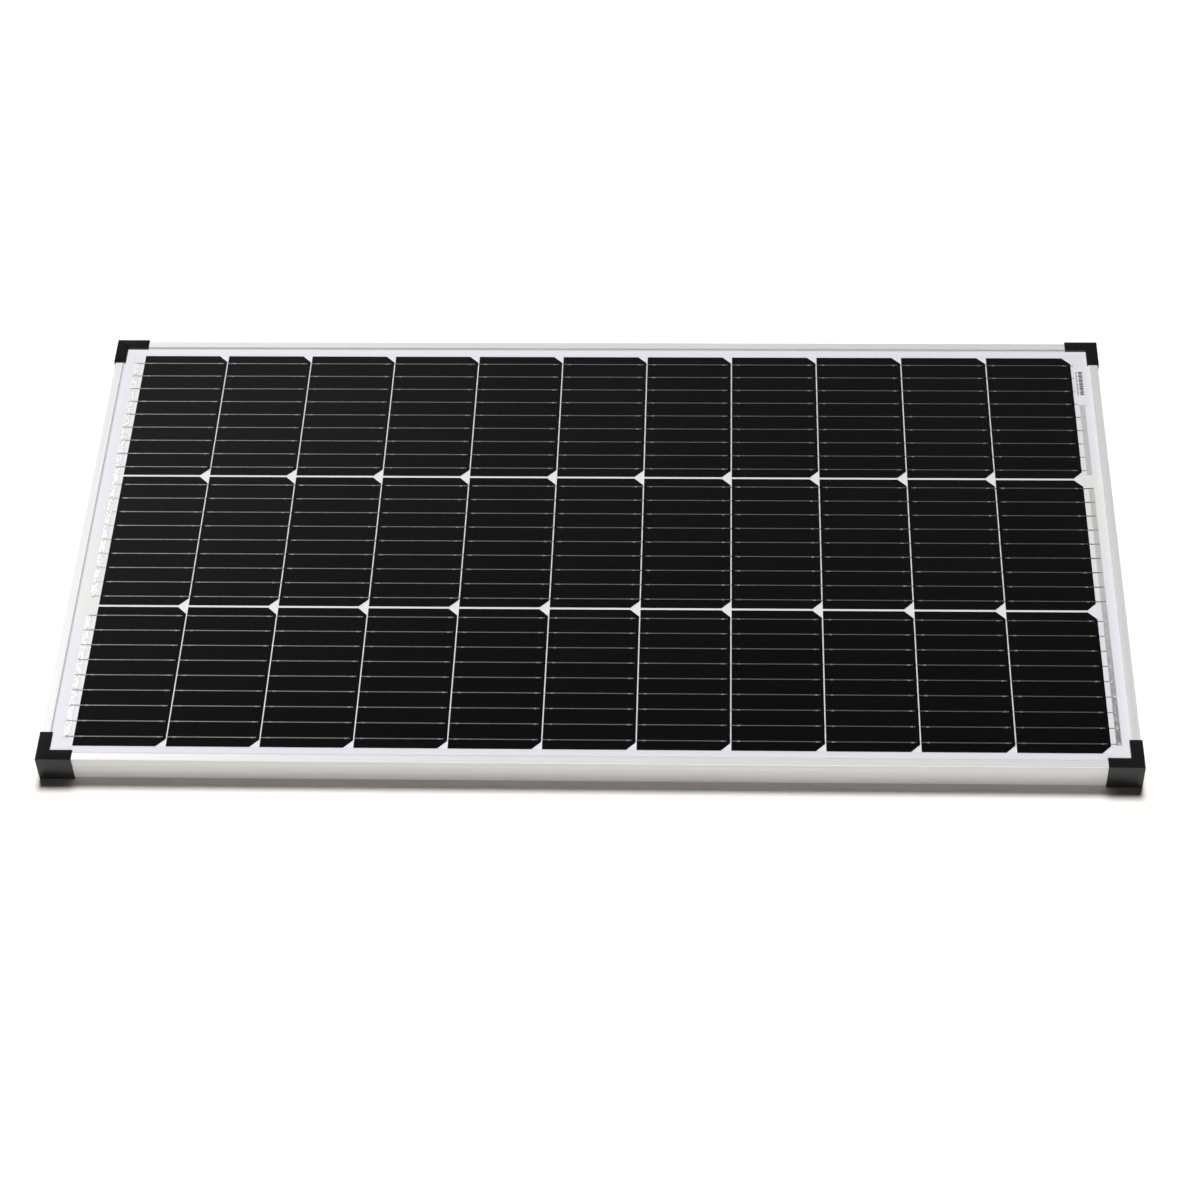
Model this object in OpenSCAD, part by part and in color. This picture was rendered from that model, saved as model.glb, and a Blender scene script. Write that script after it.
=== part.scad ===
// Framed solar panel of 33 half cells, lying on its back on its corner caps.
// Millimetres. +X runs along the strings, +Y to the back long side, +Z up.
// The origin is the middle of the footprint, on the surface that the caps stand on.

/* [Cells] */
// Cell size along the string
cell_x = 83.4; // [80:0.1:85]
// Cell size across the string
cell_y = 166.2; // [160:0.1:167]
// Cells in one string
columns = 11; // [9:1:11]
// Gap between two cells of a string
gap_x = 1.1; // [1:0.1:1.8]
// Gap between two strings
gap_y = 2.6; // [2:0.1:3]
// Cut corner of a cell
chamfer = 8.3; // [6:0.1:10]
// Cell thickness
cell_t = 0.2; // [0.15:0.01:0.25]
// How far right of the frame's middle the cells were laid up
array_x = 1.2; // [-1.5:0.1:1.5]
// How far behind the frame's middle the cells were laid up
array_y = 1; // [-1.5:0.1:1.5]

/* [Ribbons] */
// Ribbons on one cell
ribbons = 9; // [5:1:9]
// Distance from one ribbon to the next
ribbon_pitch = 18.1; // [16:0.1:18.4]
// Ribbon width
ribbon_w = 0.8; // [0.6:0.1:1]
// Ribbon thickness
ribbon_t = 0.15; // [0.1:0.01:0.2]
// Bare end of a cell that its ribbon stops short of
ribbon_stop = 3; // [2:0.5:5]
// Bus strip width
bus_w = 4.9; // [4:0.1:5]
// Distance from the outermost cell to the bus strip
bus_gap = 4.85; // [4:0.05:5]
// Strip end past the middle of its last ribbon
bus_end = 1.2; // [0.8:0.1:1.6]

/* [Laminate] */
// Glass thickness
glass_t = 3.2; // [3:0.1:3.2]
// Thickness of each encapsulant sheet
eva_t = 0.3; // [0.3:0.01:0.35]
// Backsheet thickness
backsheet_t = 0.3; // [0.25:0.01:0.35]

/* [Frame] */
// Frame size along X
frame_l = 983.5; // [975:0.5:990]
// Frame size along Y
frame_w = 540; // [538:0.5:545]
// Frame height
frame_h = 25; // [24.5:0.1:28]
// Rail wall thickness
wall_t = 1.4; // [1.2:0.1:1.5]
// Width of the top lip
lip_w = 7.8; // [7.4:0.1:8.6]
// Top lip thickness
lip_t = 1.2; // [1:0.1:1.3]
// Width of the bottom flange, from the outer face
flange_w = 22; // [21:0.5:24]
// Mounting slot width
slot_w = 7; // [6:0.5:7]
// Mounting slot length
slot_l = 11; // [9:0.5:12]
// Distance from the middle of a long rail to its mounting slot
slot_x = 240; // [200:5:300]

/* [Corner caps] */
// Length of a cap along each rail
cap_leg = 32.2; // [30:0.1:36]
// Cap wall thickness
cap_wall = 1.3; // [1.2:0.05:1.4]
// Width of a cap's top arms
cap_arm = 11.6; // [11.6:0.1:12]
// Width of a cap's foot arms
cap_foot = 15; // [13:0.5:18]

/* [Junction box] */
// Box wall size along X
box_l = 96; // [90:1:100]
// Box wall size along Y
box_w = 64; // [64:1:70]
// Lid angle, 0 is shut
lid_angle = 0; // [0:1:100]
// Diameter of the lead that a gland takes
lead_d = 6; // [5:0.1:6]

/* [Hidden] */
$fn = 48;

// Small overlap that keeps a cut from ending on the face it cuts
over = 1;

// Heights, from the surface up
frame_z = cap_wall;
tape_top_t = 0.3;
tape_bottom_t = 0.4;
glass_z = frame_z + frame_h - lip_t - tape_top_t - glass_t;
eva_front_z = glass_z - eva_t;
top_ribbon_z = eva_front_z - ribbon_t;
cell_z = top_ribbon_z - cell_t;
low_ribbon_z = cell_z - ribbon_t;
eva_rear_z = low_ribbon_z - eva_t;
backsheet_z = eva_rear_z - backsheet_t;
shelf_z = backsheet_z - tape_bottom_t;

// Laminate outline, held in the rails' groove
edge_gap = 1.6;
sealant_w = 5.6;
pane_l = frame_l - 2 * (wall_t + edge_gap);
pane_w = frame_w - 2 * (wall_t + edge_gap);

// Cells
cell_pitch = cell_x + gap_x;
string_pitch = cell_y + gap_y;
array_l = columns * cell_pitch - gap_x;
last_ribbon = ribbon_pitch * (ribbons - 1) / 2;
bus_x = array_l / 2 + bus_gap;

// Rail profile, seen along the rail: u inwards from the outer face, v up from the bottom
shelf_t = 1.3;
shelf_v = shelf_z - frame_z;
chamber_w = 5;
flange_t = 1.4;
edge_r = 0.6;
slot_u = 15;
drain_u = 11.5;
drain_l = 8;
drain_w = 3;
drain_x = 430;
earth_y = -150;
earth_d = 4.2;

// Corner keys, with a little room in the rails' chambers
key_play = 0.1;
key_leg = 36;

// Corner caps
cap_h = frame_h + 2 * cap_wall;
cap_lip_t = 1.1;
cap_play = 0.05;

// Insulation film and lead-outs, behind the cells
film_t = 0.1;
film_edge = 95.5;
film_l = 96.5;
film_shift = -4.5;
film_tail_w = 14;
film_x = array_l / 2 + 0.3;
film_w = 19;
lead_w = 5;
lead_t = 0.2;
lead_y = -2;
lead_in = 9;
lead_x = bus_x + bus_w / 2;
slot_half = 13;
window_y = 6;

// Serial label, over the upper end of the right-hand strip
label_x = 467;
label_y = 185.6;
label_w = 8.6;
label_l = 60;
label_t = 0.1;

// Junction box, hanging under the backsheet: its own z runs down from its foot
box_r = 4;
box_wall = 2;
box_floor = 1.7;
brim = 3.6;
brim_t = 1.6;
bead_t = 0.8;
bead_w = 9;
box_top_z = backsheet_z - bead_t;
box_inner_z = box_top_z - box_floor;
rim_z = 7.1;
gasket_t = 0.95;
gasket_w = 1.6;
gasket_play = 0.05;
lid_inner_z = rim_z - gasket_t - gasket_play;
lid_t = 1.6;
lid_z = lid_inner_z - lid_t;
skirt_h = 3;
skirt_t = 1.7;
skirt_play = 0.3;
plug_play = 0.5;
plug_t = 1.4;
plug_h = 1.8;
lid_half_l = box_l / 2 + skirt_play + skirt_t;
lid_half_w = box_w / 2 + skirt_play + skirt_t;
lid_back_y = box_w / 2 + 0.2;

// Lid hinge, along X behind the box
hinge_y = box_w / 2 + 3.2;
hinge_z = 8.5;
hinge_r = 1.45;
hinge_play = 0.08;
ear_r = 3;
ear_t = 3;
ear_web = 1;
ear_x = 27;
arm_r = 2.3;
arm_t = 3;
arm_gap = 0.4;

// Snap latch at the front
latch_w = 14;
latch_t = 1.4;
latch_h = 9;
latch_y = -box_w / 2 - 1 - latch_t;
window_w = 9;
window_h = 2.2;
window_z = 9.5;
nib_w = 7;
nib_t = 0.8;
nib_h = 1.4;

// Glands, in the front wall
gland_x = 30;
gland_z = 12.9;
boss_r = 5;
boss_l = 11;
bore_r = lead_d / 2 + 0.3;
seal_r = 4.2;
seal_l = 6;
seal_bore_r = lead_d / 2 + 0.1;
nut_flats = 12;
nut_l = 11;
nut_y = 4;
nut_end_t = 3.6;
thread_play = 0.05;
chamfer_l = 0.8;

// Terminals and diode
terminal_t = 1;
terminal_z = 15.6;
pad_h = box_inner_z - terminal_z - terminal_t;
terminal_in = 11;
terminal_out = 36;
terminal_front = -12;
terminal_back = 18;
barrel_r = 2.6;
barrel_bore_r = 1.7;
barrel_l = 12;
diode_r = 2.4;
diode_l = 9;
diode_y = 12;
wire_r = 0.55;
wire_in = 16;

function string_y(s) = s * string_pitch;
function cell_left(c) = -array_l / 2 + c * cell_pitch;
function ribbon_y(i) = (i - (ribbons - 1) / 2) * ribbon_pitch;

// Slot outline, centred, with round ends
module slot_2d(length, width) {
    square([length - width, width], center = true);
    for (side = [-1, 1])
        translate([side * (length - width) / 2, 0]) circle(d = width);
}

// Rectangle with round corners, centred
module round_rect(length, width, r) {
    square([length - 2 * r, width], center = true);
    square([length, width - 2 * r], center = true);
    for (x = [-1, 1], y = [-1, 1])
        translate([x * (length / 2 - r), y * (width / 2 - r)]) circle(r);
}

// What a round takes off a corner at the origin that points down and left
module corner_waste(r) {
    difference() {
        translate([-over, -over]) square(r + over);
        translate([r, r]) circle(r);
    }
}

// Cross-section of a rail
module rail_profile() {
    difference() {
        union() {
            square([wall_t, frame_h]);
            translate([0, frame_h - lip_t]) square([lip_w, lip_t]);
            translate([0, shelf_v - shelf_t]) square([lip_w, shelf_t]);
            translate([wall_t + chamber_w, 0]) square([wall_t, shelf_v]);
            square([flange_w, flange_t]);
        }
        translate([0, frame_h]) mirror([0, 1]) corner_waste(edge_r);
        translate([lip_w, frame_h]) rotate(180) corner_waste(edge_r / 2);
        corner_waste(edge_r / 2);
        translate([flange_w, 0]) mirror([1, 0]) corner_waste(edge_r / 2);
    }
}

// Mitred rail, its outer face on the XZ plane and its inside towards +Y
module rail(length) {
    intersection() {
        translate([-length / 2, 0, 0])
            rotate([90, 0, 90]) linear_extrude(length) rail_profile();
        linear_extrude(frame_h)
            polygon([
                [-length / 2, 0],
                [length / 2, 0],
                [length / 2 - flange_w, flange_w],
                [flange_w - length / 2, flange_w]
            ]);
    }
}

// Long rail, with mounting slots and drain slots through its flange
module long_rail() {
    difference() {
        rail(frame_l);
        for (side = [-1, 1]) {
            translate([side * slot_x, slot_u, -over])
                linear_extrude(flange_t + 2 * over) slot_2d(slot_l, slot_w);
            translate([side * drain_x, drain_u, -over])
                linear_extrude(flange_t + 2 * over) slot_2d(drain_l, drain_w);
        }
    }
}

// Short rail, with an earthing hole at along, measured along the rail
module short_rail(along) {
    difference() {
        rail(frame_w);
        translate([along, slot_u, -over]) cylinder(d = earth_d, h = flange_t + 2 * over);
    }
}

// Puts a rail on one side of the frame: 0 front, 1 right, 2 back, 3 left
module on_side(turns) {
    reach = turns % 2 == 0 ? frame_w / 2 : frame_l / 2;
    color("silver") rotate(90 * turns) translate([0, -reach, frame_z]) children();
}

// Puts a corner piece, made with its corner at the origin and its legs along +X and +Y
module at_corner(x, y, half_l, half_w) {
    translate([x * half_l, y * half_w, 0])
        mirror([x > 0 ? 1 : 0, 0, 0]) mirror([0, y > 0 ? 1 : 0, 0]) children();
}

// L shape with its corner at the origin
module ell_2d(leg, width) {
    square([leg, width]);
    square([width, leg]);
}

// Key that joins two rails inside their chambers
module corner_key(x, y) {
    inset = wall_t + key_play;
    low = frame_z + flange_t + key_play;
    high = frame_z + shelf_v - shelf_t - key_play;
    color("darkgray") at_corner(x, y, frame_l / 2 - inset, frame_w / 2 - inset)
        translate([0, 0, low])
        linear_extrude(high - low) ell_2d(key_leg, chamber_w - 2 * key_play);
}

// Plastic cap that wraps round the frame's corner, over and under it
module corner_cap(x, y) {
    lip_low = glass_z + glass_t + cap_play;
    color([0.07, 0.07, 0.08])
        at_corner(x, y, frame_l / 2 + cap_wall, frame_w / 2 + cap_wall) {
            linear_extrude(cap_wall) ell_2d(cap_leg, cap_foot);
            linear_extrude(cap_h) ell_2d(cap_leg, cap_wall);
            translate([0, 0, cap_h - cap_wall]) linear_extrude(cap_wall) ell_2d(cap_leg, cap_arm);
            translate([0, 0, lip_low]) linear_extrude(cap_h - cap_wall - lip_low)
                difference() {
                    ell_2d(cap_leg, cap_arm);
                    ell_2d(cap_leg + over, cap_arm - cap_lip_t);
                }
        }
}

// Flat sheet with the laminate's outline
module pane(z, thickness) {
    translate([-pane_l / 2, -pane_w / 2, z]) cube([pane_l, pane_w, thickness]);
}

// Adhesive tape and sealant that fill the rails' groove round the laminate
module frame_sealant() {
    low = shelf_z;
    high = frame_z + frame_h - lip_t;
    outer_l = frame_l - 2 * wall_t;
    outer_w = frame_w - 2 * wall_t;
    color("white") difference() {
        translate([-outer_l / 2, -outer_w / 2, low]) cube([outer_l, outer_w, high - low]);
        pane(backsheet_z, glass_z + glass_t - backsheet_z);
        translate([sealant_w - outer_l / 2, sealant_w - outer_w / 2, low - over])
            cube([outer_l - 2 * sealant_w, outer_w - 2 * sealant_w, high - low + 2 * over]);
    }
}

module glass_pane() {
    color([0.8, 0.9, 0.95, 0.3]) pane(glass_z, glass_t);
}

module encapsulant_front() {
    color([0.95, 0.95, 0.95, 0.3]) pane(eva_front_z, eva_t);
}

// The rear sheet is cut away round the lead-outs and their insulation film
module encapsulant_rear() {
    color([0.95, 0.95, 0.95, 0.5]) difference() {
        pane(eva_rear_z, eva_t);
        in_array() translate([0, 0, eva_rear_z - over])
            linear_extrude(eva_t + 2 * over)
            for (side = [-1, 1]) {
                film_2d(side);
                riser_2d(side);
            }
        lead_slot(eva_rear_z, eva_t);
    }
}

module backsheet() {
    color("whitesmoke") difference() {
        pane(backsheet_z, backsheet_t);
        lead_slot(backsheet_z, backsheet_t);
    }
}

// Opening in the panel's middle that the two lead-outs come down through
module lead_slot(z, thickness) {
    translate([-slot_half, -window_y, z - over])
        cube([2 * slot_half, 2 * window_y, thickness + 2 * over]);
}

// Puts what is laid up with the cells in its place in the frame
module in_array() {
    translate([array_x, array_y, 0]) children();
}

// Outline of one cell: its cut corners are both on the +X side
module cell_2d() {
    polygon([
        [0, 0],
        [cell_x - chamfer, 0],
        [cell_x, chamfer],
        [cell_x, cell_y - chamfer],
        [cell_x - chamfer, cell_y],
        [0, cell_y]
    ]);
}

// One string of separate half cells
module cell_string(s) {
    color([0.05, 0.05, 0.07]) in_array() for (c = [0:columns - 1])
        translate([cell_left(c), string_y(s) - cell_y / 2, cell_z])
            linear_extrude(cell_t) cell_2d();
}

// Strip with its outline in the XZ plane and its width centred on y
module xz_strip(y, width, points) {
    translate([0, y + width / 2, 0]) rotate([90, 0, 0]) linear_extrude(width) polygon(points);
}

// Ribbon from under one cell up through the gap and over the cell on its right
module link_ribbon(c, y) {
    left = cell_left(c - 1);
    right = cell_left(c);
    xz_strip(y, ribbon_w, [
        [left + ribbon_stop, low_ribbon_z],
        [left + cell_x, low_ribbon_z],
        [right, top_ribbon_z],
        [right + cell_x - ribbon_stop, top_ribbon_z],
        [right + cell_x - ribbon_stop, top_ribbon_z + ribbon_t],
        [right, top_ribbon_z + ribbon_t],
        [left + cell_x, low_ribbon_z + ribbon_t],
        [left + ribbon_stop, low_ribbon_z + ribbon_t]
    ]);
}

// Flat ribbon from x0 to x1 at height z
module end_ribbon(x0, x1, y, z) {
    translate([x0, y - ribbon_w / 2, z]) cube([x1 - x0, ribbon_w, ribbon_t]);
}

// All ribbons of one string that starts, at its left end, on the cells' faces
module ribbon_rows() {
    tail = bus_gap + bus_w;
    for (i = [0:ribbons - 1]) {
        y = ribbon_y(i);
        end_ribbon(cell_left(0) - tail, cell_left(1) - gap_x - ribbon_stop, y, top_ribbon_z);
        for (c = [1:columns - 1]) link_ribbon(c, y);
        end_ribbon(cell_left(columns - 1) + ribbon_stop, array_l / 2 + tail, y, low_ribbon_z);
    }
}

// The middle string runs the other way, so its ribbons are turned round
module string_ribbons(s) {
    color("gainsboro") in_array() translate([0, string_y(s), 0])
        mirror([s == 0 ? 1 : 0, 0, 0]) ribbon_rows();
}

// Bus strip on one side, from y0 to y1
module bus_strip(side, y0, y1) {
    left = side < 0 ? -bus_x - bus_w : bus_x;
    color("lightgray") in_array() translate([left, y0, cell_z]) cube([bus_w, y1 - y0, cell_t]);
}

// Y of the right-hand film's outer edge, and of the left-hand one's
function film_y(side) = side < 0 ? -film_edge : film_edge + film_shift;

// Film in the margin beside the middle string, with a tail over the lead-out to its bend
module film_2d(side) {
    mirror([side < 0 ? 1 : 0, 0]) {
        low = side < 0 ? film_y(side) : film_y(side) - film_l;
        translate([film_x, low]) square([film_w, film_l]);
        translate([lead_in, lead_y - film_tail_w / 2])
            square([film_x + film_w - lead_in, film_tail_w]);
    }
}

// Where a lead-out reaches up past the film to its bus strip
module riser_2d(side) {
    y = film_y(side) - (side < 0 ? lead_w : 0);
    translate([side * lead_x - bus_w / 2, y]) square([bus_w, lead_w]);
}

module insulation(side) {
    color("ivory") in_array() translate([0, 0, low_ribbon_z - film_t])
        linear_extrude(film_t) film_2d(side);
}

// Lead-out: from a bus strip, under the film, behind the cells and down into the box
module lead_out(side) {
    edge = film_y(side);
    run_low = min(edge, lead_y - lead_w / 2);
    run_high = max(edge, lead_y + lead_w / 2);
    color("lightgray") in_array() {
        translate([0, 0, eva_rear_z]) linear_extrude(cell_z - eva_rear_z) riser_2d(side);
        translate([side * lead_x - lead_w / 2, run_low, eva_rear_z])
            cube([lead_w, run_high - run_low, lead_t]);
        mirror([side < 0 ? 1 : 0, 0, 0]) translate([0, lead_y - lead_w / 2, 0]) {
            translate([lead_in, 0, eva_rear_z]) cube([lead_x - lead_in, lead_w, lead_t]);
            translate([lead_in, 0, terminal_z - lead_t])
                cube([lead_t, lead_w, eva_rear_z + lead_t - terminal_z + lead_t]);
            translate([lead_in, 0, terminal_z - lead_t]) cube([lead_w + lead_t, lead_w, lead_t]);
        }
    }
}

// Blank label over the upper end of the right-hand strip
module serial_label() {
    color("white") in_array() translate([label_x, label_y, cell_z + cell_t])
        cube([label_w, label_l, label_t]);
}

// Cylinder along Y, from y0 to y1
module y_rod(x, y0, y1, z, r) {
    translate([x, y1, z]) rotate([90, 0, 0]) cylinder(r = r, h = y1 - y0);
}

// Cylinder along X, from x0 to x1
module x_rod(x0, x1, y, z, r) {
    translate([x0, y, z]) rotate([0, 90, 0]) cylinder(r = r, h = x1 - x0);
}

// Junction box shell, glued under the backsheet, open downwards
module junction_box_base() {
    front = -box_w / 2;
    color([0.08, 0.08, 0.09]) difference() {
        union() {
            translate([0, 0, box_top_z - brim_t])
                linear_extrude(brim_t) round_rect(box_l + 2 * brim, box_w + 2 * brim, box_r + brim);
            difference() {
                translate([0, 0, rim_z])
                    linear_extrude(box_top_z - rim_z) round_rect(box_l, box_w, box_r);
                translate([0, 0, rim_z - over])
                    linear_extrude(box_inner_z - rim_z + over)
                    round_rect(box_l - 2 * box_wall, box_w - 2 * box_wall, box_r - box_wall);
            }
            for (side = [-1, 1]) {
                y_rod(side * gland_x, front - boss_l, front + box_wall, gland_z, boss_r);
                translate([side * (terminal_in + terminal_out) / 2 - 8, 2, box_inner_z - pad_h])
                    cube([16, 5, pad_h + box_floor / 2]);
                hinge_ear(side);
            }
            translate([-nib_w / 2, front - nib_t, window_z + 0.4])
                cube([nib_w, nib_t + box_wall / 2, nib_h]);
        }
        for (side = [-1, 1]) {
            y_rod(side * gland_x, front - boss_l - over, front + box_wall + over, gland_z, bore_r);
            y_rod(side * gland_x, front - boss_l - over, front - boss_l + seal_l, gland_z, seal_r);
        }
        x_rod(-ear_x - ear_t - over, ear_x + ear_t + over, hinge_y, hinge_z, hinge_r + hinge_play);
        translate([-slot_half, -window_y, box_inner_z - over])
            cube([2 * slot_half, 2 * window_y, box_floor + 2 * over]);
    }
}

// Ear on the box's back wall that carries one end of the lid
module hinge_ear(side) {
    translate([side > 0 ? ear_x : -ear_x - ear_t, 0, 0]) {
        x_rod(0, ear_t, hinge_y, hinge_z, ear_r);
        translate([0, box_w / 2 - box_wall / 2, hinge_z - ear_web])
            cube([ear_t, hinge_y - box_w / 2 + box_wall / 2, ear_web + ear_r]);
    }
}

// Moves what rides on the lid to the lid's angle
module on_lid() {
    translate([0, hinge_y, hinge_z]) rotate([lid_angle, 0, 0])
        translate([0, -hinge_y, -hinge_z]) children();
}

// Lid: plate, skirt on three sides, locating rib, hinge arms and snap latch
module junction_box_lid() {
    color([0.08, 0.08, 0.09]) on_lid() {
        difference() {
            lid_shell();
            for (side = [-1, 1])
                translate([side * gland_x - boss_r - 2, -lid_half_w - over, lid_inner_z])
                    cube([2 * boss_r + 4, skirt_t + skirt_play + 2 * over, skirt_h + over]);
        }
        translate([0, 0, lid_inner_z]) linear_extrude(plug_h) difference() {
            plug_2d(box_wall + plug_play);
            plug_2d(box_wall + plug_play + plug_t);
        }
        for (side = [-1, 1]) lid_arm(side);
        lid_latch();
    }
}

// Outline of the box, moved in by inset
module plug_2d(inset) {
    round_rect(box_l - 2 * inset, box_w - 2 * inset, 1.5);
}

// Lid plate with its skirt, cut short at the back where the hinge is
module lid_shell() {
    intersection() {
        translate([0, 0, lid_z]) linear_extrude(lid_t + skirt_h)
            round_rect(2 * lid_half_l, 2 * lid_half_w, box_r + skirt_t);
        difference() {
            translate([-lid_half_l, -lid_half_w, lid_z])
                cube([2 * lid_half_l, lid_half_w + lid_back_y, lid_t + skirt_h]);
            translate([0, 0, lid_inner_z]) linear_extrude(skirt_h + over)
                round_rect(box_l + 2 * skirt_play, box_w + 2 * skirt_play, box_r + skirt_play);
            translate([-lid_half_l - over, box_w / 2 - box_r, lid_inner_z])
                cube([2 * lid_half_l + 2 * over, lid_half_w, skirt_h + over]);
        }
    }
}

// Hinge arm with the stub axle that turns in the box's ear
module lid_arm(side) {
    outer = ear_x - arm_gap;
    mirror([side < 0 ? 1 : 0, 0, 0]) {
        x_rod(outer - arm_t, outer, hinge_y, hinge_z, arm_r);
        translate([outer - arm_t, hinge_y - arm_r, lid_z]) cube([arm_t, 2 * arm_r, hinge_z - lid_z]);
        translate([outer - arm_t, lid_back_y - over, lid_z])
            cube([arm_t, hinge_y - lid_back_y + over, lid_t]);
        x_rod(outer - arm_t / 2, ear_x + ear_t, hinge_y, hinge_z, hinge_r);
    }
}

// Latch tongue with the window that catches the box's nib
module lid_latch() {
    difference() {
        translate([-latch_w / 2, latch_y, lid_z])
            cube([latch_w, latch_t, latch_h]);
        translate([-window_w / 2, latch_y - over, window_z])
            cube([window_w, latch_t + 2 * over, window_h]);
    }
}

module lid_gasket() {
    middle = box_wall / 2;
    color("dimgray") on_lid() translate([0, 0, lid_inner_z]) linear_extrude(gasket_t)
        difference() {
            round_rect(
                box_l - 2 * middle + gasket_w,
                box_w - 2 * middle + gasket_w,
                box_r - middle + gasket_w / 2
            );
            round_rect(
                box_l - 2 * middle - gasket_w,
                box_w - 2 * middle - gasket_w,
                box_r - middle - gasket_w / 2
            );
        }
}

// Bead of silicone between the box and the backsheet
module box_adhesive() {
    outer_l = box_l + 2 * brim - 1;
    outer_w = box_w + 2 * brim - 1;
    color("white") translate([0, 0, box_top_z]) linear_extrude(bead_t) difference() {
        round_rect(outer_l, outer_w, box_r + brim);
        round_rect(outer_l - 2 * bead_w, outer_w - 2 * bead_w, 2);
    }
}

// Terminal plate with the barrel that the lead is crimped in
module terminal(side) {
    color("tan") mirror([side < 0 ? 1 : 0, 0, 0]) difference() {
        union() {
            translate([terminal_in, terminal_front, terminal_z])
                cube([terminal_out - terminal_in, terminal_back - terminal_front, terminal_t]);
            y_rod(gland_x, terminal_front - barrel_l, terminal_front + over, gland_z, barrel_r);
            translate([gland_x - 2, terminal_front - 4, gland_z + barrel_r / 2])
                cube([4, 4 + over, terminal_z + terminal_t - gland_z - barrel_r / 2]);
        }
        y_rod(gland_x, terminal_front - barrel_l - over, terminal_front - 2, gland_z, barrel_bore_r);
    }
}

// Diode across the two terminals, its wires soldered under their plates
module bypass_diode() {
    z = terminal_z - wire_r;
    color([0.1, 0.1, 0.1]) {
        x_rod(-diode_l / 2, diode_l / 2, diode_y, z, diode_r);
        x_rod(-wire_in, wire_in, diode_y, z, wire_r);
    }
}

// Compression nut, screwed on the box's boss
module gland_nut(side) {
    start = -box_w / 2 - nut_y;
    inner_end = start - nut_l + nut_end_t;
    color([0.1, 0.1, 0.11]) difference() {
        intersection() {
            translate([side * gland_x, start, gland_z]) rotate([90, 0, 0])
                cylinder(d = nut_flats / cos(30), h = nut_l, $fn = 6);
            translate([side * gland_x, start, gland_z]) rotate([90, 0, 0]) nut_turned();
        }
        y_rod(side * gland_x, inner_end, start + over, gland_z, boss_r + thread_play);
        y_rod(side * gland_x, start - nut_l - over, inner_end + over, gland_z, bore_r);
    }
}

// Turned envelope that chamfers the nut's hexagon at both ends
module nut_turned() {
    r = nut_flats / cos(30) / 2;
    rotate_extrude($fn = 64) polygon([
        [0, 0],
        [r - chamfer_l, 0],
        [r + 0.1, chamfer_l],
        [r + 0.1, nut_l - chamfer_l],
        [r - chamfer_l, nut_l],
        [0, nut_l]
    ]);
}

// Rubber ring that the nut presses round the lead
module gland_seal(side) {
    front = -box_w / 2 - boss_l;
    color([0.16, 0.16, 0.16]) difference() {
        y_rod(side * gland_x, front, front + seal_l, gland_z, seal_r);
        y_rod(side * gland_x, front - over, front + seal_l + over, gland_z, seal_bore_r);
    }
}

on_side(0) long_rail();  // frame_rail_front
on_side(2) long_rail();  // frame_rail_back
on_side(3) short_rail(-earth_y);  // frame_rail_left
on_side(1) short_rail(earth_y);  // frame_rail_right
corner_key(-1, -1);  // corner_key_front_left
corner_key(1, -1);  // corner_key_front_right
corner_key(-1, 1);  // corner_key_back_left
corner_key(1, 1);  // corner_key_back_right
corner_cap(-1, -1);  // corner_cap_front_left
corner_cap(1, -1);  // corner_cap_front_right
corner_cap(-1, 1);  // corner_cap_back_left
corner_cap(1, 1);  // corner_cap_back_right
frame_sealant();
glass_pane();
encapsulant_front();
encapsulant_rear();
backsheet();
cell_string(-1);  // cell_string_front
cell_string(0);  // cell_string_middle
cell_string(1);  // cell_string_back
string_ribbons(-1);  // ribbons_front
string_ribbons(0);  // ribbons_middle
string_ribbons(1);  // ribbons_back
bus_strip(-1, string_y(-1) - last_ribbon - bus_end, film_y(-1));  // bus_strip_left_front
bus_strip(-1, -last_ribbon - bus_end, string_y(1) + last_ribbon + bus_end);  // bus_strip_left_back
bus_strip(1, string_y(-1) - last_ribbon - bus_end, last_ribbon + bus_end);  // bus_strip_right_front
bus_strip(1, film_y(1), string_y(1) + last_ribbon + bus_end);  // bus_strip_right_back
lead_out(-1);  // lead_out_left
lead_out(1);  // lead_out_right
insulation(-1);  // insulation_left
insulation(1);  // insulation_right
serial_label();
junction_box_base();
junction_box_lid();
lid_gasket();
box_adhesive();
terminal(-1);  // terminal_left
terminal(1);  // terminal_right
bypass_diode();
gland_nut(-1);  // gland_nut_left
gland_nut(1);  // gland_nut_right
gland_seal(-1);  // gland_seal_left
gland_seal(1);  // gland_seal_right
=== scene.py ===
import math

import bmesh
import bpy
from mathutils import Matrix, Vector


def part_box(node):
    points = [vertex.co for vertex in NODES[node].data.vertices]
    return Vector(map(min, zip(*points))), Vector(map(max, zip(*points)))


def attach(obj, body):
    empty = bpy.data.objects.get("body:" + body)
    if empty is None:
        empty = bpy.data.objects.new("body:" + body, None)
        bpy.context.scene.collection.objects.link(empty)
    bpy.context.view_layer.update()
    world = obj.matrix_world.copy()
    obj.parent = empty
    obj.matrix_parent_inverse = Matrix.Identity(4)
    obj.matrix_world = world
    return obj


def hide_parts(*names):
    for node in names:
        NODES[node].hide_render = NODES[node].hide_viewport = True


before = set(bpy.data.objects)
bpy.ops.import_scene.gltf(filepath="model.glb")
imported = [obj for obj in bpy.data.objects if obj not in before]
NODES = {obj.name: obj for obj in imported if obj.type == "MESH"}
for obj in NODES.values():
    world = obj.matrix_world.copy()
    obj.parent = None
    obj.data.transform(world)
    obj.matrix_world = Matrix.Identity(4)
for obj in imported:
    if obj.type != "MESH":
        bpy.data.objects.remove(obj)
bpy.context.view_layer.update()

MM = 0.001
SCENE = bpy.context.scene
FLOOR_REACH = 40.0
GLASS_IOR = 1.5
GLASS_TINT = (0.98, 0.98, 0.98, 1)

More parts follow.
